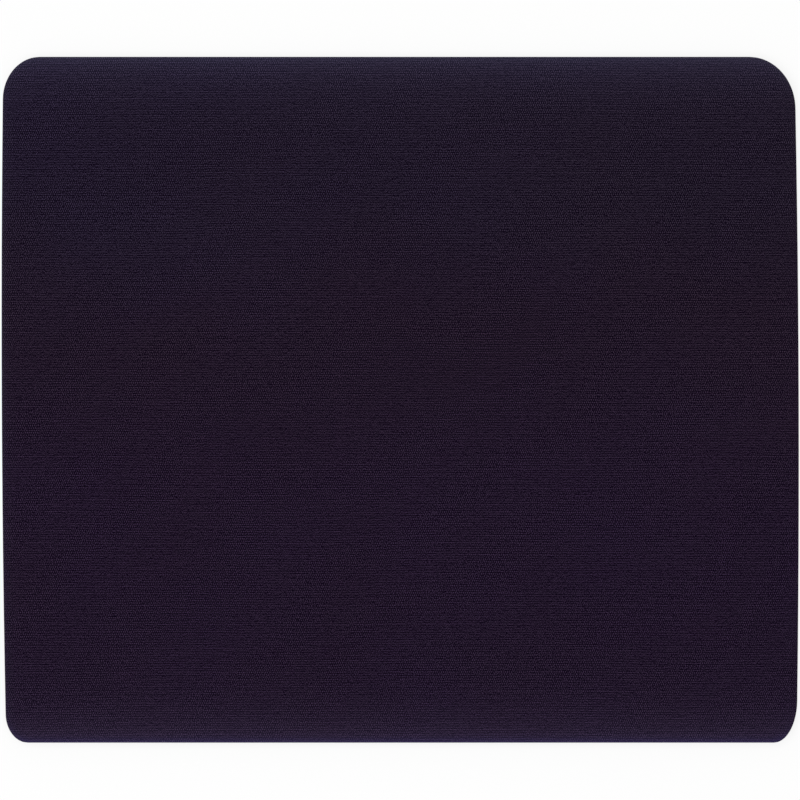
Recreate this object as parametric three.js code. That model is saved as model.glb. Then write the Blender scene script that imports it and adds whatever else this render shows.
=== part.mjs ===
// A cloth mouse pad: four layers cut to one outline and bonded face to face.
// Millimetres. The origin is the middle of the underside, +X is to the user's right,
// +Y points away from the user and +Z is up.
import * as THREE from 'three';

// Overall size: the width is taken where the bowed sides are furthest apart
const padWidth = 229;
const padDepth = 197;
const padThickness = 6;

// Thickness of the layers around the core, which fills what is left
const fabricThickness = 0.6;
const filmThickness = 0.1;
const baseThickness = 0.6;

// Glue line between two bonded faces
const bondGap = 0.01;

// Corner rounds: how far each one reaches along the front or back edge, and along its side
const backLeftReachX = 10.6;
const backLeftReachY = 12.3;
const backRightReachX = 13.3;
const backRightReachY = 15.1;
const frontRightReachX = 6.7;
const frontRightReachY = 12.3;
const frontLeftReachX = 6.4;
const frontLeftReachY = 8.4;

// How far each end of a side lies inside the widest line, which gives the side its slight bow
const backLeftInset = 0.35;
const backRightInset = 0.95;
const frontRightInset = 0.45;
const frontLeftInset = 1.15;

// Straight steps that stand for each curve of the outline
const curveSteps = 12;

// Where the layers start, from the underside up
const coreBottom = baseThickness + bondGap;
const fabricBottom = padThickness - fabricThickness;
const filmBottom = fabricBottom - bondGap - filmThickness;
const coreThickness = filmBottom - bondGap - coreBottom;

// A side's curve pulls outwards just enough for its bow to touch the widest line
function sidePull(oneInset, otherInset) {
  return Math.sqrt(oneInset * otherInset);
}

// The outline that every layer is cut to, counterclockwise from the front left corner
function padOutline() {
  const side = padWidth / 2;
  const edge = padDepth / 2;
  const quarter = Math.PI / 2;
  const outline = new THREE.Shape();

  const frontLeftX = -side + frontLeftInset + frontLeftReachX;
  const frontRightX = side - frontRightInset - frontRightReachX;
  const backRightX = side - backRightInset - backRightReachX;
  const backLeftX = -side + backLeftInset + backLeftReachX;
  const frontLeftY = -edge + frontLeftReachY;
  const frontRightY = -edge + frontRightReachY;
  const backRightY = edge - backRightReachY;
  const backLeftY = edge - backLeftReachY;

  outline.moveTo(frontLeftX, -edge);
  outline.lineTo(frontRightX, -edge);
  outline.absellipse(frontRightX, frontRightY, frontRightReachX, frontRightReachY, -quarter, 0);
  outline.quadraticCurveTo(
    side + sidePull(frontRightInset, backRightInset),
    (frontRightY + backRightY) / 2,
    side - backRightInset,
    backRightY
  );
  outline.absellipse(backRightX, backRightY, backRightReachX, backRightReachY, 0, quarter);
  outline.lineTo(backLeftX, edge);
  outline.absellipse(backLeftX, backLeftY, backLeftReachX, backLeftReachY, quarter, 2 * quarter);
  outline.quadraticCurveTo(
    -side - sidePull(backLeftInset, frontLeftInset),
    (backLeftY + frontLeftY) / 2,
    -side + frontLeftInset,
    frontLeftY
  );
  outline.absellipse(
    frontLeftX, frontLeftY, frontLeftReachX, frontLeftReachY, 2 * quarter, 3 * quarter
  );
  return outline;
}

// One layer of the pad, standing on the given height
function layer(name, outline, bottom, thickness, material) {
  const geometry = new THREE.ExtrudeGeometry(outline, {
    depth: thickness,
    bevelEnabled: false,
    curveSegments: curveSteps
  });
  const mesh = new THREE.Mesh(geometry, material);
  mesh.name = name;
  mesh.position.z = bottom;
  return mesh;
}

function fabricMaterial() {
  return new THREE.MeshStandardMaterial({ color: 0x201727, roughness: 0.9, metalness: 0 });
}

function filmMaterial() {
  return new THREE.MeshStandardMaterial({ color: 0xcfc8b4, roughness: 0.45, metalness: 0 });
}

function foamMaterial() {
  return new THREE.MeshStandardMaterial({ color: 0x1c1b1d, roughness: 0.95, metalness: 0 });
}

function baseMaterial() {
  return new THREE.MeshStandardMaterial({ color: 0x232224, roughness: 0.8, metalness: 0 });
}

function buildPad() {
  const outline = padOutline();
  const pad = new THREE.Group();
  pad.add(layer('grip_base', outline, 0, baseThickness, baseMaterial()));
  pad.add(layer('foam_core', outline, coreBottom, coreThickness, foamMaterial()));
  pad.add(layer('adhesive_film', outline, filmBottom, filmThickness, filmMaterial()));
  pad.add(layer('fabric_top', outline, fabricBottom, fabricThickness, fabricMaterial()));
  return pad;
}

export default buildPad();
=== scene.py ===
"""A cloth mouse pad, dressed layer by layer around its packed frame and set on a white studio floor."""

import math

import bpy
import numpy as np
from bpy.props import FloatProperty, FloatVectorProperty, IntProperty, PointerProperty
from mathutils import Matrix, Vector


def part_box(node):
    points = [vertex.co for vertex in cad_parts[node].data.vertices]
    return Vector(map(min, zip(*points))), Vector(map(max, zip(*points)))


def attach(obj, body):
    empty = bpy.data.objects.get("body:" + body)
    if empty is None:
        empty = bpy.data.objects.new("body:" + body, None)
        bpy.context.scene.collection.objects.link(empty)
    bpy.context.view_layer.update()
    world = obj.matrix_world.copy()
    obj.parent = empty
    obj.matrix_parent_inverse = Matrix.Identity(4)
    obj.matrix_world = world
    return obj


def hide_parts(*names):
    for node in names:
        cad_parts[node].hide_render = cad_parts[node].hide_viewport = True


bl_info = {
    "name": "Cloth mouse pad",
    "version": (1, 0, 0),
    "blender": (4, 5, 0),
    "location": "View3D > Sidebar > Mouse pad",
    "description": "Models the cloth, bond film, sponge and grip skin of a mouse pad",
    "category": "Add Mesh",
}

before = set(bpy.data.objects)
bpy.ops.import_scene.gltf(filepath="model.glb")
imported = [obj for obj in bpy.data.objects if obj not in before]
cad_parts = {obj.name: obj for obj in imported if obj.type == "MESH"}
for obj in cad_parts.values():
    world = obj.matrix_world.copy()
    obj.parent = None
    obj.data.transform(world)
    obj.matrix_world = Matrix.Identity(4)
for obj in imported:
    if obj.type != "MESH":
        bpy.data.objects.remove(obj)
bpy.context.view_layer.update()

MM = 0.001
BODY = "root"
PAD_LOW, PAD_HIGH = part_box("fabric_top")
PAD_WIDTH = PAD_HIGH.x - PAD_LOW.x
PAD_DEPTH = PAD_HIGH.y - PAD_LOW.y
PAD_TOP = PAD_HIGH.z

# Mesh of the cloth: rows in one course, and columns over the rounded rim as shares of its radius
ROWS_IN_COURSE = 4
RIM_COLUMNS = np.array([0.0, 0.125, 0.325, 0.625, 1.0])

# Slow drift of the stitches: (reach in stitches or courses, wave along x and along y in metres, start)
COLUMN_DRIFT = ((0.12, 0.17, 0.26, 0.4), (0.12, -0.11, 0.14, 2.1), (0.09, 0.07, 0.08, 4.0))
COURSE_DRIFT = ((0.13, 0.21, -0.16, 1.3), (0.12, 0.10, 0.19, 5.2), (0.09, -0.06, 0.09, 3.1))

# Painted light and shade of the yarn, with its uneven tone: its plain level, what each cause adds to it,
# and the sum's limits and mean
YARN_LEVEL = 0.9
RIB_SHADE = 0.93
RIB_SLUB = 3.6
RIB_TENSION = 0.7
LOOP_SHADE = 2.4
LOOP_PLUMPNESS = 7.5
PLUMP_SHADE = 0.6
FIBRE_SHADE = 2.6
THREAD_SHADE = 2.1
YARN_DARKEST = 0.03
YARN_LIGHTEST = 5.0
YARN_MEAN = 1.456

# How far apart two rows lie in the noise that makes thick and thin yarn, so that they differ
SLUB_STEP = 3.37

# Bands that an uneven feed of yarn leaves across the cloth: how many to a course, and their strength
FEED_REPEAT = 0.387
FEED_SHADE = 0.075
FEED_SLUB = 0.15

# Nap: tufts to a stitch and to a course, the noise from raised to flat, the painted shade under it and its
# sheen
NAP_TUFTS = (0.40, 0.47)
NAP_STEP = (0.34, 0.66)
NAP_SHADE = 0.1
NAP_SHEEN = 0.12

# Dye: where along y its front and back colours blend in, and the patches that push these to and fro
FRONT_BLEND = (20 * MM, -35 * MM)
BACK_BLEND = (15 * MM, 65 * MM)
DRIFT_PATCH = 90 * MM
DRIFT_REACH = 60 * MM

# Patches of lighter and of bluer cloth: size, strength, and how much more the left has than the right
BLOTCH_PATCH = 60 * MM
BLOTCH_SHADE = 0.16
BLOTCH_LEFT = 0.06
BLUE_PATCH = 45 * MM
BLUE_SHADE = 0.0036
BLUE_LEFT = 0.0024

# Fuzz at the cut edge: the share of the yarn's shades it hides, and the share that shows in it and in the
# painted edge light
FUZZ_COVER = 0.4
FUZZ_SHADE = 0.25

# Loose fibre ends: how far in from the front they have its colour, and how far from the right they start
FRONT_FRAY_REACH = 4 * MM
RIGHT_FRAY_START = (1 * MM, 5 * MM)

# Flat maps for baked colour: the margin at their two sides, and above and below each strip of a wall
MAP_MARGIN = 0.01
STRIP_MARGIN = 0.05

# Waves of the film's melted edge: (reach, how many go round the pad, start)
MELT_WAVES = ((0.5, 23, 0.0), (0.3, 61, 1.0), (0.2, 97, 2.0))

# How much sooner than the hollow the sponge's open cells reach full depth away from the glued faces
CELL_RISE = 2.5

# Floor: how far it stays under the grip skin, and how far from the middle the shadow fades and is gone
FLOOR_GAP = 0.02 * MM
SHADOW_FADE = (0.6 * PAD_WIDTH, 1.6 * PAD_WIDTH)


class ClothSettings(bpy.types.PropertyGroup):
    """Knitted cloth on top of the pad."""

    courses: IntProperty(
        name="Courses", description="Knitted rows from the front edge to the back", default=287, min=1
    )
    stitches: IntProperty(
        name="Stitches", description="Stitches in one row, from side to side", default=396, min=1
    )
    lean: FloatProperty(
        name="Lean", description="Sideways drift of the stitch columns towards the front",
        default=0.00935, precision=5,
    )
    columns: IntProperty(
        name="Columns", description="Mesh columns between the two rounded side rims", default=62, min=2
    )
    rib_depth: FloatProperty(
        name="Rib depth", description="How far the cloth sinks between two rows",
        default=0.06 * MM, precision=6, unit="LENGTH",
    )
    rim_radius: FloatProperty(
        name="Rim radius", description="Rounding of the cloth along its cut edge",
        default=0.4 * MM, precision=6, unit="LENGTH",
    )
    slub: FloatProperty(
        name="Slub", description="Length in stitches of the thick and thin stretches of yarn",
        default=25.0, min=1.0,
    )
    # Fibre bundles speckle the yarn with painted light and shade
    fibre: FloatProperty(
        name="Fibre", description="Width of the fibre bundles that speckle the yarn",
        default=0.255 * MM, precision=6, unit="LENGTH",
    )
    thread_length: FloatProperty(
        name="Thread length", description="Length of the threads that streak the yarn",
        default=1.2 * MM, precision=6, unit="LENGTH",
    )
    thread_width: FloatProperty(
        name="Thread width", description="Width of the threads that streak the yarn",
        default=0.2 * MM, precision=6, unit="LENGTH",
    )
    # Painted light fades in from the front and back edges over this reach
    painted_light_reach: FloatProperty(
        name="Painted light reach", description="How far wear fades in from the front and back edges",
        default=6.5 * MM, precision=6, unit="LENGTH",
    )
    fray_reach: FloatProperty(
        name="Fray reach", description="How far loose fibre ends fade in from the cut edge",
        default=1.0 * MM, precision=6, unit="LENGTH",
    )
    front_colour: FloatVectorProperty(
        name="Front colour", description="Colour of the cloth towards the user",
        subtype="COLOR", default=(0.0155, 0.0086, 0.0217),
    )
    middle_colour: FloatVectorProperty(
        name="Middle colour", description="Colour of the cloth across the middle",
        subtype="COLOR", default=(0.0155, 0.0090, 0.0197),
    )
    back_colour: FloatVectorProperty(
        name="Back colour", description="Colour of the cloth along the back edge",
        subtype="COLOR", default=(0.0150, 0.0099, 0.0218),
    )
    # Painted light added along the front and back edges, one colour for each
    front_painted_light: FloatVectorProperty(
        name="Front wear", description="Colour that wear adds along the front edge",
        subtype="COLOR", default=(0.0120, 0.0096, 0.0200),
    )
    back_painted_light: FloatVectorProperty(
        name="Back wear", description="Colour that wear adds along the back edge",
        subtype="COLOR", default=(0.0133, 0.0128, 0.0258),
    )
    # The gaps between the stitches hold the yarn's deepest painted shade
    gap_colour: FloatVectorProperty(
        name="Gap colour", description="Colour that still shows in the gaps between the stitches",
        subtype="COLOR", default=(0.0016, 0.0001, 0.0043),
    )
    front_fray: FloatVectorProperty(
        name="Front fray", description="Colour that loose fibre ends add along the front of the cut edge",
        subtype="COLOR", default=(0.0035, 0.0050, 0.0340),
    )
    frayed_colour: FloatVectorProperty(
        name="Frayed colour", description="Colour that loose fibre ends add along the rest of the cut edge",
        subtype="COLOR", default=(0.0055, 0.0072, 0.0092),
    )


class FilmSettings(bpy.types.PropertyGroup):
    """Hot-melt film between the cloth and the sponge."""

    set_back: FloatProperty(
        name="Set back", description="How far the film stays inside the cut edge on average",
        default=0.2 * MM, precision=6, unit="LENGTH",
    )
    unevenness: FloatProperty(
        name="Unevenness", description="Share of the set back by which the melted edge wanders",
        default=0.7, subtype="FACTOR",
    )
    facet: FloatProperty(
        name="Facet", description="Distance between two points of the melted edge",
        default=2 * MM, precision=6, unit="LENGTH",
    )
    colour: FloatVectorProperty(
        name="Colour", description="Colour of the film", subtype="COLOR", default=(0.32, 0.30, 0.25)
    )


class SpongeSettings(bpy.types.PropertyGroup):
    """Sponge rubber core."""

    facet: FloatProperty(
        name="Facet", description="Size of the mesh squares on the cut wall",
        default=0.215 * MM, precision=6, unit="LENGTH",
    )
    hollow: FloatProperty(
        name="Hollow", description="How far the cut wall draws in at half height",
        default=0.25 * MM, precision=6, unit="LENGTH",
    )
    cell: FloatProperty(
        name="Cell", description="Size of the larger cells cut open on the wall",
        default=0.8 * MM, precision=6, unit="LENGTH",
    )
    cell_depth: FloatProperty(
        name="Cell depth", description="Depth of the cells cut open on the wall",
        default=0.3 * MM, precision=6, unit="LENGTH",
    )
    colour: FloatVectorProperty(
        name="Colour", description="Colour of the sponge", subtype="COLOR", default=(0.034, 0.032, 0.036)
    )


class SkinSettings(bpy.types.PropertyGroup):
    """Embossed grip skin under the sponge."""

    tile: FloatProperty(
        name="Tile", description="Distance between two grooves of the embossing",
        default=2.4 * MM, precision=6, unit="LENGTH",
    )
    groove_width: FloatProperty(
        name="Groove width", description="Width of a groove at its mouth",
        default=0.7 * MM, precision=6, unit="LENGTH",
    )
    groove_depth: FloatProperty(
        name="Groove depth", description="Depth of a groove",
        default=0.2 * MM, precision=6, unit="LENGTH",
    )
    colour: FloatVectorProperty(
        name="Colour", description="Colour of the grip skin", subtype="COLOR", default=(0.022, 0.021, 0.023)
    )


class StageSettings(bpy.types.PropertyGroup):
    """Floor, light and camera."""

    picture_width: FloatProperty(
        name="Picture width", description="Width that the square picture spans at the pad's face",
        default=229.72 * MM, unit="LENGTH",
    )
    aim: FloatVectorProperty(
        name="Aim", description="Where on the pad's face the camera looks straight down",
        size=2, default=(-0.06 * MM, -0.07 * MM), precision=6, unit="LENGTH",
    )
    lens: FloatProperty(
        name="Lens", description="Focal length of the camera above the pad", default=200.0, unit="CAMERA"
    )
    surround: FloatProperty(
        name="Surround", description="Strength of the even light from all round", default=0.4
    )
    lamp_place: FloatVectorProperty(
        name="Lamp place", description="Where the soft lamp hangs", size=3, default=(-0.3, 0.0, 2.0),
        subtype="TRANSLATION",
    )
    lamp_size: FloatProperty(
        name="Lamp size", description="Side of the square lamp", default=1.5, unit="LENGTH"
    )
    lamp_power: FloatProperty(
        name="Lamp power", description="Power of the soft lamp", default=29.0, unit="POWER"
    )
    floor_size: FloatProperty(
        name="Floor size", description="Side of the square floor", default=12.0, unit="LENGTH"
    )
    floor_colour: FloatVectorProperty(
        name="Floor colour", description="Colour of the floor", subtype="COLOR", default=(0.97, 0.97, 0.97)
    )
    floor_lift: FloatProperty(
        name="Floor lift", description="Share of plain white in the floor as the camera sees it",
        default=0.8, subtype="FACTOR",
    )


class Wire:
    """A socket of a node tree. Python's operators on it add Math nodes, and node() adds any other node."""

    def __init__(self, tree, socket=None):
        self.tree = tree
        self.socket = socket

    def node(self, kind, settings=None, inputs=None, output=0):
        made = self.tree.nodes.new(kind)
        for name, value in (settings or {}).items():
            setattr(made, name, value)
        for name, value in (inputs or {}).items():
            if isinstance(value, Wire):
                self.tree.links.new(value.socket, made.inputs[name])
            else:
                made.inputs[name].default_value = value
        return Wire(self.tree, made.outputs[output] if made.outputs else None)

    def beside(self, output):
        """Another output of the same node."""
        return Wire(self.tree, self.socket.node.outputs[output])

    def math(self, operation, *others):
        return self.node("ShaderNodeMath", {"operation": operation}, dict(enumerate((self, *others))))

    def __add__(self, other):
        return self.math("ADD", other)

    __radd__ = __add__

    def __mul__(self, other):
        return self.math("MULTIPLY", other)

    __rmul__ = __mul__

    def __sub__(self, other):
        return self.math("SUBTRACT", other)

    def __rsub__(self, other):
        return (self * -1.0).math("ADD", other)

    def __truediv__(self, other):
        return self.math("DIVIDE", other)

    def floor(self):
        return self.math("FLOOR")

    def magnitude(self):
        return self.math("ABSOLUTE")

    def kept_between(self, low, high):
        return self.math("MAXIMUM", low).math("MINIMUM", high)

    def varied(self, strength):
        """A factor that varies by the given strength around 1 as this value goes from 0 to 1."""
        return (self - 0.5) * strength + 1.0

    def hump(self):
        """0 at whole numbers and 1 halfway between them, as a sine."""
        return (self * math.pi).math("SINE").magnitude()

    def swing(self):
        """From -1 to 1 as this value goes from 0 to 1, by its square."""
        return self * self * 2 - 1

    def faded(self, reach):
        """1 at no distance, falling away over the given reach."""
        return (self * (-1.0 / reach)).math("EXPONENT")

    def smooth_step(self, low, high):
        """From 0 to 1 as this value goes from low to high."""
        return self.node(
            "ShaderNodeMapRange",
            {"interpolation_type": "SMOOTHSTEP"},
            {"Value": self, "From Min": low, "From Max": high},
        )

    def scaled(self, colour):
        """A colour times this value."""
        return self.node("ShaderNodeVectorMath", {"operation": "SCALE"}, {0: colour, "Scale": self})

    def plus(self, colour):
        """This colour and another one together."""
        return self.node("ShaderNodeVectorMath", {"operation": "ADD"}, {0: self, 1: colour})

    def blended(self, first, second):
        """From the first colour to the second as this value goes from 0 to 1."""
        return self.node(
            "ShaderNodeMix", {"data_type": "RGBA"}, {"Factor": self, 6: first, 7: second}, output=2
        )


def opaque(colour):
    return (*colour, 1.0)


def new_material(name):
    """A material with an empty tree, and the object coordinates in it."""
    material = bpy.data.materials.new(name)
    material.use_nodes = True
    material.node_tree.nodes.clear()
    place = Wire(material.node_tree).node("ShaderNodeTexCoord", output="Object")
    return material, place


def shaded(place, inputs):
    """A Principled shader with these inputs."""
    return place.node("ShaderNodeBsdfPrincipled", inputs=inputs)


def mixed(share, first, second):
    """From the first shader to the second as the share goes from 0 to 1."""
    return share.node("ShaderNodeMixShader", inputs={0: share, 1: first, 2: second})


def surface(place, shader):
    """Shows this shader as the material's surface."""
    place.node("ShaderNodeOutputMaterial", inputs={"Surface": shader})


def split(place):
    x = place.node("ShaderNodeSeparateXYZ", inputs={0: place})
    return x, x.beside("Y"), x.beside("Z")


def joined(x, y):
    return x.node("ShaderNodeCombineXYZ", inputs={0: x, 1: y})


def kept_value(place, name):
    """The number that the mesh keeps under this name on each vertex."""
    return place.node("ShaderNodeAttribute", {"attribute_name": name}, output="Fac")


def dice(numbers):
    """A random value from 0 to 1 for each pair of whole numbers."""
    return numbers.node("ShaderNodeTexWhiteNoise", {"noise_dimensions": "2D"}, {"Vector": numbers})


def tile_shades(place, width, depth, steps):
    """A random value from 0 to 1 for the tile at each place, and for those some steps away from it."""
    tile = place.node("ShaderNodeVectorMath", {"operation": "DIVIDE"}, {0: place, 1: (width, depth, 1.0)})
    corner = place.node("ShaderNodeVectorMath", {"operation": "FLOOR"}, {0: tile})
    return [dice(corner.plus(step)) for step in steps]


def speckled(place, size):
    """Random light and shade, from -2 to 2, that evens out over neighbouring squares of the given size."""
    steps = ((0, 0, 0), (1, 0, 0), (0, 1, 0), (1, 1, 0))
    here, beside, behind, across = tile_shades(place, size, size, steps)
    return here + across - beside - behind


def streaked(place, length, width):
    """Random streaks along x, from -1 to 1, that even out over neighbouring ones."""
    here, behind = tile_shades(place, length, width, ((0, 0, 0), (0, 1, 0)))
    return here - behind


def clouds(place, size, detail=2.0, roughness=0.5):
    """Soft noise from 0 to 1 with patches of about the given size."""
    return place.node(
        "ShaderNodeTexNoise",
        inputs={"Vector": place, "Scale": 1.0 / size, "Detail": detail, "Roughness": roughness},
    )


def cells(place, size):
    """Distance from the middle of rounded cells of about the given size."""
    return place.node("ShaderNodeTexVoronoi", {"feature": "F1"}, {"Vector": place, "Scale": 1.0 / size})


def bumped(height, depth):
    """The normal of a surface that rises by the given depth as the height goes from 0 to 1."""
    return height.node("ShaderNodeBump", inputs={"Strength": 1.0, "Distance": depth, "Height": height})


def painted_yarn_shades(cloth, place, column, course):
    """Painted light and shade of the yarn with its uneven tone, about 1 on average, and the height of its
    loops from 0 to 1.
    """
    row = course.floor()
    stitch = column + row * 0.5
    ridge = course.hump()
    loop = stitch.hump()
    slub = clouds(joined(column / cloth.slub, row * SLUB_STEP), 1.0, roughness=0.8) - 0.5
    tension = dice(joined(row, 0.0)) - 0.5
    plump = dice(joined(stitch.floor(), row)) - 0.5
    # Painted shade in the valleys between rows and the gaps between loops; each fibre bundle gets a painted
    # lit and shaded side
    rib = ridge.swing() * (slub * RIB_SLUB + tension * RIB_TENSION + RIB_SHADE)
    knit = loop.swing() * ridge * (plump * LOOP_PLUMPNESS + LOOP_SHADE) - plump * PLUMP_SHADE
    threads = streaked(place, cloth.thread_length, cloth.thread_width) * THREAD_SHADE
    fibres = speckled(place, cloth.fibre) * FIBRE_SHADE
    yarn = (rib + knit + fibres + threads + YARN_LEVEL).kept_between(YARN_DARKEST, YARN_LIGHTEST)
    feed = (course * (2 * math.pi * FEED_REPEAT)).math("SINE") * FEED_SHADE + slub * FEED_SLUB + 1.0
    return yarn / YARN_MEAN * feed, ridge * loop


def flat_nap(column, course):
    """How flat the short nap lies, from 0 to 1, in tufts of two or three stitches."""
    tufts = joined(column * NAP_TUFTS[0], course * NAP_TUFTS[1])
    return clouds(tufts, 1.0).smooth_step(*NAP_STEP)


def drifting_dye(cloth, place, x, towards_front, towards_back):
    """Colour of the yarn, which drifts from front to back and is bluest at the back on the left."""
    rear = towards_back.blended(opaque(cloth.middle_colour), opaque(cloth.back_colour))
    blue = (clouds(place, BLUE_PATCH) - 0.5) * BLUE_SHADE - towards_back * x * (BLUE_LEFT / PAD_WIDTH)
    return towards_front.blended(rear, opaque(cloth.front_colour)).plus(blue.scaled((0.0, 0.0, 1.0)))


def edge_light_and_fray(cloth, x, y, towards_back, rim):
    """Painted light at the front and back edges, and loose fibre colour on the cut edge, left out on the
    right.
    """
    # Painted light: paler towards the front and back edges; fibre colour along the cut edge
    to_edge = PAD_DEPTH / 2 - y.magnitude()
    painted_light = towards_back.blended(opaque(cloth.front_painted_light), opaque(cloth.back_painted_light))
    at_front = (y - PAD_LOW.y).faded(FRONT_FRAY_REACH)
    loose = at_front.blended(opaque(cloth.frayed_colour), opaque(cloth.front_fray))
    fray = rim * (PAD_HIGH.x - x).smooth_step(*RIGHT_FRAY_START)
    return to_edge.faded(cloth.painted_light_reach).scaled(painted_light).plus(fray.scaled(loose))


def knitted_cloth(cloth):
    """Rows of staggered stitches in uneven yarn, painted shade between them, a short nap, painted light
    front and back.
    """
    material, place = new_material("knitted cloth")
    x, y, _ = split(place)
    column, course, _ = split(place.node("ShaderNodeUVMap", {"uv_map": "knit"}))
    yarn, lump = painted_yarn_shades(cloth, place, column, course)
    nap = flat_nap(column, course)
    drift = y + (clouds(place, DRIFT_PATCH) - 0.5) * DRIFT_REACH
    towards_back = drift.smooth_step(*BACK_BLEND)
    towards_front = drift.smooth_step(*FRONT_BLEND)
    darker_right = towards_front * x * (BLOTCH_LEFT / PAD_WIDTH)
    blotch = clouds(place, BLOTCH_PATCH).varied(BLOTCH_SHADE) - darker_right
    # Raised nap scatters light of its own, so painted shade darkens the yarn under it, evening out its
    # sheen from above
    nap_painted_shade = nap.varied(NAP_SHADE)
    rim = kept_value(place, "inset").faded(cloth.fray_reach)
    tone = yarn * blotch * nap_painted_shade
    tone = tone + (1.0 - tone) * rim * FUZZ_COVER
    dye = drifting_dye(cloth, place, x, towards_front, towards_back)
    light_and_fray = edge_light_and_fray(cloth, x, y, towards_back, rim)
    gap = Vector(cloth.gap_colour)
    dyed = tone.scaled(dye.plus(-gap))
    shown_light_and_fray = (tone * FUZZ_SHADE + (1.0 - FUZZ_SHADE)).scaled(light_and_fray)
    finish = {
        "Base Color": dyed.plus(shown_light_and_fray).plus(gap),
        "Roughness": 0.95 - lump * 0.12,
        "Specular IOR Level": 0.0,
        "Sheen Roughness": 0.5,
        "Sheen Tint": (0.75, 0.7, 0.85, 1.0),
        "Normal": bumped(lump, 0.08 * MM),
    }
    raised = shaded(place, {**finish, "Sheen Weight": NAP_SHEEN})
    lying = shaded(place, {**finish, "Sheen Weight": 0.0})
    surface(place, mixed(nap, raised, lying))
    return material


def bond_film(film):
    """Milky film, uneven where the melt ran."""
    material, place = new_material("bond film")
    run = clouds(place, 6 * MM, detail=4.0)
    surface(place, shaded(place, {
        "Base Color": run.varied(0.5).scaled(film.colour),
        "Roughness": run * 0.3 + 0.3,
        "Normal": bumped(run, 0.05 * MM),
    }))
    return material


def sponge_rubber(sponge):
    """Dark sponge with painted shade inside its open cells and fine pores, and a finer foam between them.
    """
    material, place = new_material("sponge rubber")
    pit = kept_value(place, "pit").smooth_step(0.2, 0.7)
    fine = cells(place, 0.3 * MM)
    # Painted shade: darker inside the cut-open cells and at the middle of each fine pore
    tone = (1.2 - pit * 0.75) * (fine * 0.9 + 0.45) * clouds(place, 8 * MM).varied(0.4)
    surface(place, shaded(place, {
        "Base Color": tone.scaled(sponge.colour),
        "Roughness": 0.98 - fine * 0.12,
        "Specular IOR Level": 0.25,
        "Normal": bumped(fine, 0.12 * MM),
    }))
    return material


def grip_rubber(skin):
    """Matt rubber with a fine moulded grain, painted shade in its grooves, and dust in its grooves."""
    material, place = new_material("grip rubber")
    _, _, z = split(place)
    groove = z.smooth_step(0.0, skin.groove_depth)
    dust = groove * clouds(place, 9 * MM, detail=4.0).smooth_step(0.5, 0.75)
    grain = clouds(place, 0.35 * MM)
    scuff = clouds(place, 25 * MM).varied(0.5)
    # Painted shade: the grooves are darker than the tile faces
    tone = grain.varied(0.7) * scuff * (1.35 - groove * 0.95) + dust * 0.6
    surface(place, shaded(place, {
        "Base Color": tone.scaled(skin.colour),
        "Roughness": grain * 0.25 + 0.6 + dust * 0.2,
        "Specular IOR Level": 0.4,
        "Normal": bumped(grain, 0.05 * MM),
    }))
    return material


def outline_of(node):
    """The corner points of a layer's outline, counterclockwise."""
    corners = {(round(v.co.x, 6), round(v.co.y, 6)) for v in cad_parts[node].data.vertices}
    return np.array(sorted(corners, key=lambda p: math.atan2(p[1], p[0])))


def evenly_along(outline, spacing):
    """Points at even steps along a closed outline."""
    closed = np.vstack([outline, outline[:1]])
    steps = np.linalg.norm(np.diff(closed, axis=0), axis=1)
    reached = np.concatenate([[0.0], np.cumsum(steps)])
    count = int(round(reached[-1] / spacing))
    along = np.arange(count) * (reached[-1] / count)
    return np.column_stack([np.interp(along, reached, closed[:, k]) for k in (0, 1)])


def distance_inside(points, outline):
    """How far each point lies inside the outline."""
    ahead = np.roll(outline, -1, axis=0) - outline
    length = np.maximum((ahead**2).sum(1), 1e-18)
    nearest = np.empty(len(points))
    batch = 4096
    for first in range(0, len(points), batch):
        away = points[first:first + batch, None] - outline[None]
        share = np.clip((away * ahead).sum(2) / length, 0.0, 1.0)
        gap = away - share[:, :, None] * ahead
        nearest[first:first + batch] = np.sqrt((gap**2).sum(2)).min(1)
    return nearest


def share_around(points, outline):
    """How far round the outline each point lies, from 0 to 1."""
    closed = np.vstack([outline[-1:], outline, outline[:1]])
    turn = np.arctan2(closed[:, 1], closed[:, 0])
    turn[0] -= 2 * math.pi
    turn[-1] += 2 * math.pi
    steps = np.linalg.norm(np.diff(closed, axis=0), axis=1)
    reached = np.concatenate([[0.0], np.cumsum(steps)]) - steps[0]
    return np.interp(np.arctan2(points[:, 1], points[:, 0]), turn, reached / steps[1:].sum())


def edge_at(side, y):
    """How far out one side of the outline lies at each y."""
    order = np.argsort(side[:, 1])
    return np.interp(y, side[order, 1], side[order, 0])


def slow_drift(points, waves):
    """How far the stitches have drifted at each point, added up from waves."""
    x, y = points.T
    return sum(
        reach * np.sin(2 * math.pi * (x / wide + y / deep) + start)
        for reach, wide, deep, start in waves
    )


def knit_places(cloth, points):
    """Which stitch column and which course of the cloth each point lies on."""
    x, y = points.T
    column = (x + cloth.lean * y - PAD_LOW.x) * (cloth.stitches / PAD_WIDTH)
    course = (y - PAD_LOW.y) * (cloth.courses / PAD_DEPTH)
    return np.column_stack([
        column + slow_drift(points, COLUMN_DRIFT),
        course + slow_drift(points, COURSE_DRIFT),
    ])


def cloth_columns(cloth):
    """Where the cloth's mesh columns lie, as shares of its width: close together over the rounded rims."""
    rim = RIM_COLUMNS * (cloth.rim_radius / PAD_WIDTH)
    middle = np.linspace(0.0, 1.0, cloth.columns + 1)[1:-1]
    return np.concatenate([rim, rim[-1] + middle * (1 - 2 * rim[-1]), 1 - rim[::-1]])


def cloth_points(share, columns, outline):
    """Spreads a square grid's points over the outline, with its columns at these shares of the width."""
    y = PAD_LOW.y + share[:, 1] * PAD_DEPTH
    left = edge_at(outline[outline[:, 0] < 0], y)
    right = edge_at(outline[outline[:, 0] > 0], y)
    across = np.interp(share[:, 0], np.linspace(0, 1, len(columns)), columns)
    return np.column_stack([left + across * (right - left), y])


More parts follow.
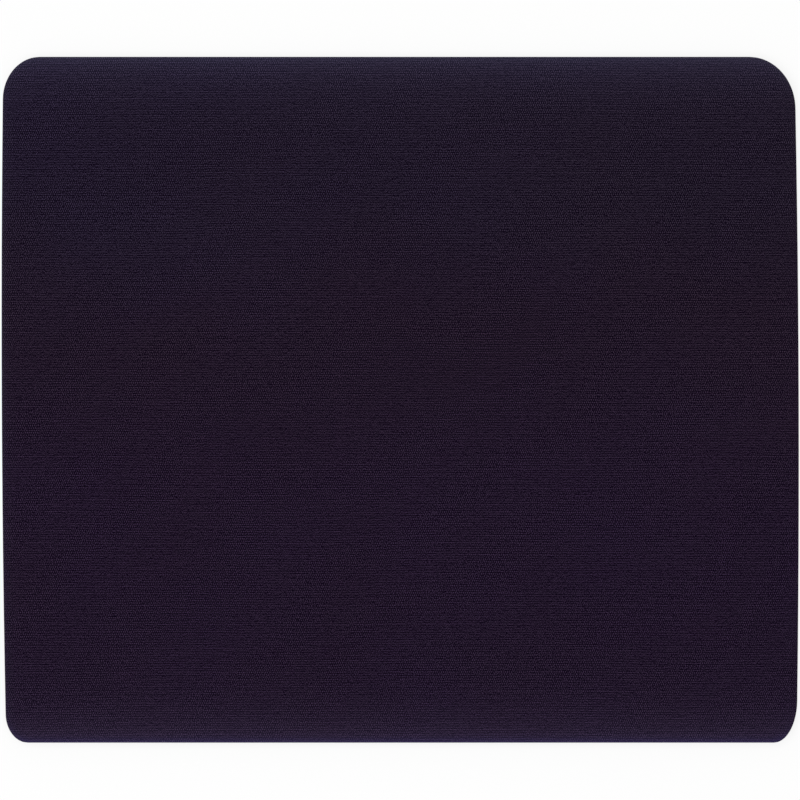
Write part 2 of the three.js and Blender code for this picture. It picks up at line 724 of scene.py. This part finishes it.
def cloth_dip(cloth, points, inset):
    """How far the cloth lies below its top: rounded over along the rim, and sunk between two rows."""
    radius = cloth.rim_radius
    inside = np.minimum(inset, radius)
    rounding = radius - np.sqrt(radius**2 - (radius - inside)**2)
    valley = 0.5 + 0.5 * np.cos(2 * math.pi * knit_places(cloth, points)[:, 1])
    return rounding + cloth.rib_depth * valley * inside / radius


def vertex_places(piece):
    places = np.empty(len(piece.data.vertices) * 3)
    piece.data.vertices.foreach_get("co", places)
    return places.reshape(-1, 3)


def place_vertices(piece, places):
    piece.data.vertices.foreach_set("co", np.asarray(places, float).ravel())
    piece.data.update()


def corner_vertices(piece):
    """The vertex at each face corner."""
    vertices = np.empty(len(piece.data.loops), int)
    piece.data.loops.foreach_get("vertex_index", vertices)
    return vertices


def add_map(piece, name, places):
    """A UV map with one place for each face corner."""
    piece.data.uv_layers.new(name=name)
    piece.data.uv_layers[name].data.foreach_set("uv", np.asarray(places, float).ravel())


def keep_values(piece, name, values):
    """A number on each vertex, for the material to read."""
    kept = piece.data.attributes.new(name, "FLOAT", "POINT")
    kept.data.foreach_set("value", np.asarray(values, float))


def lay_out(piece, outline, up, wall, down, strips=1, steep=0.02):
    """A flat map for baked colour: three bands for the faces that look up, sideways and down.

    Each band is (low, high) up the map. The wall runs along its band in one or more strips. A face is
    part of the wall if its normal goes up or down by less than steep.
    """
    mesh = piece.data
    places = vertex_places(piece)
    looks = np.empty(len(mesh.polygons) * 3)
    mesh.polygons.foreach_get("normal", looks)
    centres = np.empty(len(mesh.polygons) * 3)
    mesh.polygons.foreach_get("center", centres)
    sizes = np.empty(len(mesh.polygons), int)
    mesh.polygons.foreach_get("loop_total", sizes)
    face = np.repeat(np.arange(len(sizes)), sizes)
    look = looks.reshape(-1, 3)[face, 2]
    corners = places[corner_vertices(piece)]
    low, high = places.min(0), places.max(0)
    across, along, tall = ((corners - low) / (high - low)).T
    middle = share_around(centres.reshape(-1, 3), outline)[face]
    turn = share_around(corners, outline) - middle
    turn = (middle + turn - np.round(turn)) * strips
    strip = np.floor(middle * strips)
    side = np.abs(look) < steep
    u = np.where(side, turn - strip, across)
    v = np.where(side, (strip + STRIP_MARGIN + (1 - 2 * STRIP_MARGIN) * tall) / strips, along)
    bottom = np.select([side, look > 0], [wall[0], up[0]], down[0])
    top = np.select([side, look > 0], [wall[1], up[1]], down[1])
    flat = np.column_stack([MAP_MARGIN + (1 - 2 * MAP_MARGIN) * u, bottom + v * (top - bottom)])
    add_map(piece, "OFBake", flat)


def started(name):
    """The primitive just added, under the piece's name."""
    piece = bpy.context.object
    piece.name = name
    piece.data.name = name
    return piece


def edit(select):
    """Enters edit mode with everything selected or deselected."""
    bpy.ops.object.mode_set(mode="EDIT")
    bpy.ops.mesh.select_all(action=select)


def ring_piece(name, points, height):
    """A filled ring with one vertex on each point of an outline, at the given height."""
    bpy.ops.object.select_all(action="DESELECT")
    bpy.ops.mesh.primitive_circle_add(vertices=len(points), fill_type="NGON", calc_uvs=False)
    piece = started(name)
    places = vertex_places(piece)
    order = np.argsort(np.arctan2(places[:, 1], places[:, 0]))
    places[order, :2] = points[np.argsort(np.arctan2(points[:, 1], points[:, 0]))]
    places[:, 2] = height
    place_vertices(piece, places)
    return piece


def raise_up(distance):
    """Extrudes what is selected straight up."""
    bpy.ops.mesh.extrude_region_move(TRANSFORM_OT_translate={"value": (0, 0, distance)})


def face_out():
    """Turns all faces outwards and leaves edit mode."""
    bpy.ops.mesh.select_all(action="SELECT")
    bpy.ops.mesh.normals_make_consistent(inside=False)
    bpy.ops.object.mode_set(mode="OBJECT")


def divide_wall(piece, height, rows):
    """Cuts the upright wall of an extruded ring into level rows."""
    bpy.ops.mesh.select_mode(type="EDGE")
    bpy.ops.mesh.select_all(action="DESELECT")
    bpy.ops.object.mode_set(mode="OBJECT")
    ends = np.empty(len(piece.data.edges) * 2, int)
    piece.data.edges.foreach_get("vertices", ends)
    rise = np.diff(vertex_places(piece)[ends.reshape(-1, 2), 2], axis=1)[:, 0]
    piece.data.edges.foreach_set("select", np.abs(rise) > height / 2)
    bpy.ops.object.mode_set(mode="EDIT")
    bpy.ops.mesh.subdivide_edgering(number_cuts=rows - 1, interpolation="LINEAR", smoothness=0)
    bpy.ops.mesh.select_mode(type="VERT")


def weigh_wall(piece, low, height, rows):
    """Vertex groups for the wall, which fade out towards its two glued edges."""
    hollow = piece.vertex_groups.new(name="hollow")
    wall = piece.vertex_groups.new(name="wall")
    level = np.round((vertex_places(piece)[:, 2] - low) / height * rows).astype(int)
    if len(np.unique(level)) != rows + 1:
        raise RuntimeError("The wall of the sponge was not divided into rows")
    for k in range(1, rows):
        ring = np.flatnonzero(level == k).tolist()
        rise = math.sin(math.pi * k / rows)
        hollow.add(ring, rise, "REPLACE")
        wall.add(ring, min(1.0, CELL_RISE * rise), "REPLACE")


def apply_modifier(piece, kind, **settings):
    modifier = piece.modifiers.new(kind.title(), kind)
    for name, value in settings.items():
        setattr(modifier, name, value)
    bpy.ops.object.modifier_apply(modifier=modifier.name)


def finish_piece(piece, material, node, crease=45):
    """Shades the piece, and hands it to the frame in place of its CAD layer."""
    bpy.ops.object.shade_smooth_by_angle(angle=math.radians(crease))
    piece.data.materials.clear()
    piece.data.materials.append(material)
    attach(piece, BODY)
    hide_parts(node)


class PAD_OT_cloth(bpy.types.Operator):
    """Model the knitted cloth, with its rows as low ribs and its cut edge rounded over."""

    bl_idname = "pad.cloth"
    bl_label = "Cloth"

    def execute(self, context):
        cloth = context.scene.pad_cloth
        low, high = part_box("fabric_top")
        outline = outline_of("fabric_top")
        columns = cloth_columns(cloth)
        bpy.ops.object.select_all(action="DESELECT")
        bpy.ops.mesh.primitive_grid_add(
            x_subdivisions=len(columns) - 1, y_subdivisions=cloth.courses * ROWS_IN_COURSE, size=1,
            calc_uvs=False,
        )
        piece = started("cloth_top")
        points = cloth_points(vertex_places(piece)[:, :2] + 0.5, columns, outline)
        inset = distance_inside(points, outline)
        place_vertices(piece, np.column_stack([points, high.z - cloth_dip(cloth, points, inset)]))
        keep_values(piece, "inset", inset)
        edit("DESELECT")
        bpy.ops.mesh.select_non_manifold()
        raise_up(low.z - high.z + cloth.rim_radius)
        bpy.ops.mesh.edge_face_add()
        face_out()
        knit = knit_places(cloth, vertex_places(piece)[:, :2])
        add_map(piece, "knit", knit[corner_vertices(piece)])
        lay_out(piece, outline, up=(0.01, 0.94), wall=(0.95, 0.97), down=(0.98, 0.99))
        finish_piece(piece, knitted_cloth(cloth), "fabric_top")
        return {"FINISHED"}


class PAD_OT_film(bpy.types.Operator):
    """Model the bond film, with the uneven edge that the melt leaves."""

    bl_idname = "pad.film"
    bl_label = "Bond film"

    def execute(self, context):
        film = context.scene.pad_film
        low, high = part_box("adhesive_film")
        outline = evenly_along(outline_of("adhesive_film"), film.facet)
        turn = np.linspace(0, 2 * math.pi, len(outline), endpoint=False)
        melt = sum(reach * np.sin(count * turn + start) for reach, count, start in MELT_WAVES)
        inward = -outline / np.linalg.norm(outline, axis=1)[:, None]
        set_back = film.set_back * (1 + film.unevenness * melt)
        piece = ring_piece("bond_film", outline + inward * set_back[:, None], low.z)
        edit("SELECT")
        raise_up(high.z - low.z)
        face_out()
        finish_piece(piece, bond_film(film), "adhesive_film")
        return {"FINISHED"}


class PAD_OT_sponge(bpy.types.Operator):
    """Model the sponge core, with a cut wall that draws in and shows its open cells."""

    bl_idname = "pad.sponge"
    bl_label = "Sponge core"

    def execute(self, context):
        sponge = context.scene.pad_sponge
        low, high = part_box("foam_core")
        height = high.z - low.z
        rows = int(round(height / sponge.facet))
        piece = ring_piece("sponge_core", evenly_along(outline_of("foam_core"), sponge.facet), low.z)
        edit("SELECT")
        raise_up(height)
        divide_wall(piece, height, rows)
        face_out()
        weigh_wall(piece, low.z, height, rows)
        apply_modifier(piece, "DISPLACE", strength=-sponge.hollow, mid_level=0.0, vertex_group="hollow")
        uncut = vertex_places(piece)
        pores = bpy.data.textures.new("open cells", "VORONOI")
        pores.noise_scale = sponge.cell
        apply_modifier(
            piece, "DISPLACE", texture=pores, texture_coords="LOCAL", mid_level=1.0,
            strength=sponge.cell_depth, vertex_group="wall",
        )
        depth = np.linalg.norm(vertex_places(piece) - uncut, axis=1)
        keep_values(piece, "pit", depth / sponge.cell_depth)
        lay_out(
            piece, outline_of("foam_core"), up=(0.92, 0.95), wall=(0.01, 0.91), down=(0.96, 0.99),
            strips=4, steep=0.95,
        )
        finish_piece(piece, sponge_rubber(sponge), "foam_core")
        return {"FINISHED"}


class PAD_OT_skin(bpy.types.Operator):
    """Model the grip skin, with crossed grooves embossed in its underside."""

    bl_idname = "pad.skin"
    bl_label = "Grip skin"

    def execute(self, context):
        skin = context.scene.pad_skin
        low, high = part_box("grip_base")
        tiles = int(math.ceil(math.hypot(PAD_WIDTH, PAD_DEPTH) / skin.tile))
        bpy.ops.object.select_all(action="DESELECT")
        bpy.ops.mesh.primitive_grid_add(
            x_subdivisions=tiles, y_subdivisions=tiles, size=tiles * skin.tile, calc_uvs=False,
            location=(0, 0, low.z + skin.groove_depth), rotation=(0, 0, math.radians(45)),
        )
        piece = started("grip_skin")
        bpy.ops.object.transform_apply(location=True, rotation=True, scale=True)
        edit("SELECT")
        bpy.ops.mesh.flip_normals()
        bpy.ops.mesh.inset(
            use_individual=True, thickness=skin.groove_width / 2, depth=skin.groove_depth
        )
        bpy.ops.mesh.select_all(action="DESELECT")
        bpy.ops.mesh.select_non_manifold()
        raise_up(high.z - low.z - skin.groove_depth)
        bpy.ops.mesh.edge_face_add()
        face_out()
        cutter = ring_piece("skin_outline", outline_of("grip_base"), low.z - skin.tile)
        edit("SELECT")
        raise_up(2 * skin.tile + high.z)
        face_out()
        bpy.ops.object.select_all(action="DESELECT")
        bpy.context.view_layer.objects.active = piece
        piece.select_set(True)
        apply_modifier(piece, "BOOLEAN", operation="INTERSECT", object=cutter, solver="EXACT")
        bpy.data.objects.remove(cutter)
        lay_out(piece, outline_of("grip_base"), up=(0.98, 0.99), wall=(0.95, 0.97), down=(0.01, 0.94))
        finish_piece(piece, grip_rubber(skin), "grip_base", crease=20)
        return {"FINISHED"}


def seen_rays(wire):
    """1 for what the camera sees, straight, mirrored or through glass."""
    path = wire.node("ShaderNodeLightPath", output="Is Camera Ray")
    mirrored = path.beside("Is Glossy Ray")
    through = path.beside("Is Transmission Ray")
    return path.math("MAXIMUM", mirrored).math("MAXIMUM", through)


def white_floor(stage):
    """White floor that keeps a soft share of the pad's shadow, and can't be seen from below."""
    material, place = new_material("white floor")
    away = place.node("ShaderNodeVectorMath", {"operation": "LENGTH"}, {0: place}, output="Value")
    lift = away.smooth_step(*SHADOW_FADE) * (1.0 - stage.floor_lift) + stage.floor_lift
    matt = place.node("ShaderNodeBsdfDiffuse", inputs={"Color": opaque(stage.floor_colour)})
    white = place.node("ShaderNodeEmission", inputs={"Strength": 1.0})
    clear = place.node("ShaderNodeBsdfTransparent")
    below = place.node("ShaderNodeNewGeometry", output="Backfacing")
    surface(place, mixed(below, mixed(seen_rays(place) * lift, matt, white), clear))
    return material


def even_light(stage):
    """A world that lights the pad evenly from all round, and is white to the camera."""
    world = bpy.data.worlds.new("even light")
    world.use_nodes = True
    world.node_tree.nodes.clear()
    start = Wire(world.node_tree)
    strength = seen_rays(start) * (1.0 - stage.surround) + stage.surround
    light = start.node("ShaderNodeBackground", inputs={"Color": (1, 1, 1, 1), "Strength": strength})
    start.node("ShaderNodeOutputWorld", inputs={"Surface": light})
    return world


class PAD_OT_stage(bpy.types.Operator):
    """Set the white floor, the soft light and the camera straight above the pad."""

    bl_idname = "pad.stage"
    bl_label = "Stage"

    def execute(self, context):
        stage = context.scene.pad_stage
        scene = context.scene
        bpy.ops.object.select_all(action="DESELECT")
        bpy.ops.mesh.primitive_plane_add(size=stage.floor_size, location=(0, 0, -FLOOR_GAP))
        floor = started("floor")
        floor.data.materials.append(white_floor(stage))

        scene.world = even_light(stage)
        bpy.ops.object.light_add(type="AREA", location=stage.lamp_place)
        lamp = bpy.context.object
        lamp.name = "overhead_lamp"
        lamp.data.shape = "SQUARE"
        lamp.data.size = stage.lamp_size
        lamp.data.energy = stage.lamp_power
        lamp.visible_camera = False

        bpy.ops.object.camera_add(rotation=(0, 0, 0))
        camera = bpy.context.object
        camera.name = "photo_camera"
        camera.data.lens = stage.lens
        camera.data.clip_end = 100.0
        away = stage.picture_width * stage.lens / camera.data.sensor_width
        camera.location = (*stage.aim, PAD_TOP + away)
        scene.camera = camera
        scene.view_settings.view_transform = "Standard"
        return {"FINISHED"}


SETTINGS = {
    "pad_cloth": ClothSettings,
    "pad_film": FilmSettings,
    "pad_sponge": SpongeSettings,
    "pad_skin": SkinSettings,
    "pad_stage": StageSettings,
}
OPERATORS = (PAD_OT_skin, PAD_OT_sponge, PAD_OT_film, PAD_OT_cloth, PAD_OT_stage)


class PAD_PT_panel(bpy.types.Panel):
    """The pad's pieces and their sizes and colours."""

    bl_idname = "PAD_PT_panel"
    bl_label = "Mouse pad"
    bl_space_type = "VIEW_3D"
    bl_region_type = "UI"
    bl_category = "Mouse pad"

    def draw(self, context):
        for name, kind in SETTINGS.items():
            box = self.layout.box()
            box.label(text=kind.__doc__)
            for setting in kind.__annotations__:
                box.prop(getattr(context.scene, name), setting)
        for operator in OPERATORS:
            self.layout.operator(operator.bl_idname)


CLASSES = (*SETTINGS.values(), *OPERATORS, PAD_PT_panel)


def register():
    for kind in CLASSES:
        bpy.utils.register_class(kind)
    for name, kind in SETTINGS.items():
        setattr(bpy.types.Scene, name, PointerProperty(type=kind))


def unregister():
    for name in SETTINGS:
        delattr(bpy.types.Scene, name)
    for kind in reversed(CLASSES):
        bpy.utils.unregister_class(kind)


def main():
    register()
    bpy.ops.pad.skin()
    bpy.ops.pad.sponge()
    bpy.ops.pad.film()
    bpy.ops.pad.cloth()
    bpy.ops.pad.stage()


if __name__ == "__main__":
    main()
